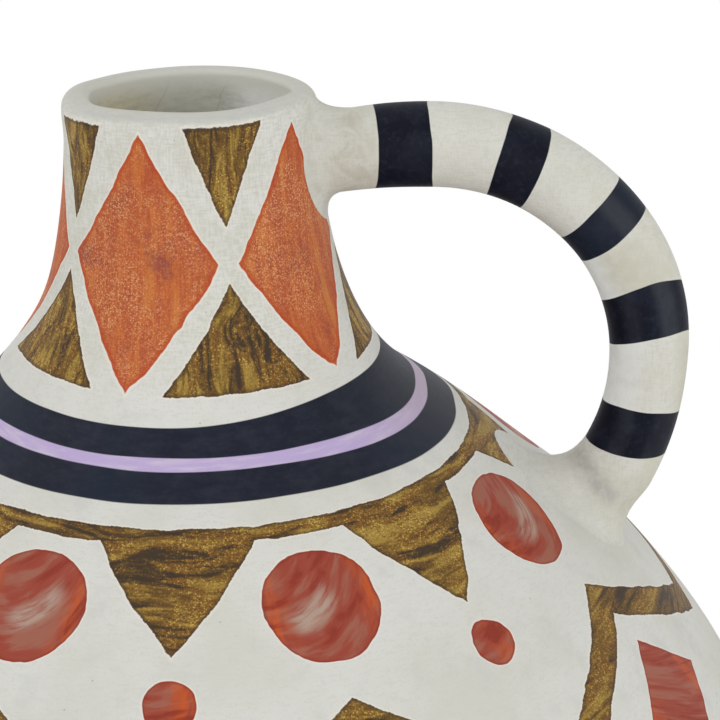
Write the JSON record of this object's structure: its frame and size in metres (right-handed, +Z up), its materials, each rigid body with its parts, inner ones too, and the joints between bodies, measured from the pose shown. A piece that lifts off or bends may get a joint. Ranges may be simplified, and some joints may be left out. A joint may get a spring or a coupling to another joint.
{
  "type": "demijohn vase",
  "caption": "Round terracotta demijohn vase with a flared neck, a rounded lip and a looped side handle, painted in bands and geometric figures; holds water or dry stems.",
  "frame": {"origin": "middle of the foot, on the plane that the vase stands on", "axes": "+Z up along the axis of the vase, +X towards the handle"},
  "size_m": [0.394, 0.394, 0.44],
  "materials": {
    "painted_slip": "matt cream slip over terracotta, hand-painted in brick red, olive brown, navy and lilac",
    "bare_clay": "bare fired terracotta, dry and matt"
  },
  "bodies": {
    "root": {"base_disc": "bare_clay", "lower_bowl": "painted_slip", "upper_dome": "painted_slip", "neck": "painted_slip", "lip": "painted_slip", "floor_coil": "bare_clay", "belly_coil": "bare_clay", "neck_coil": "bare_clay", "handle": "painted_slip", "handle_top_lute": "painted_slip", "handle_foot_lute": "painted_slip"}
  },
  "joints": []
}
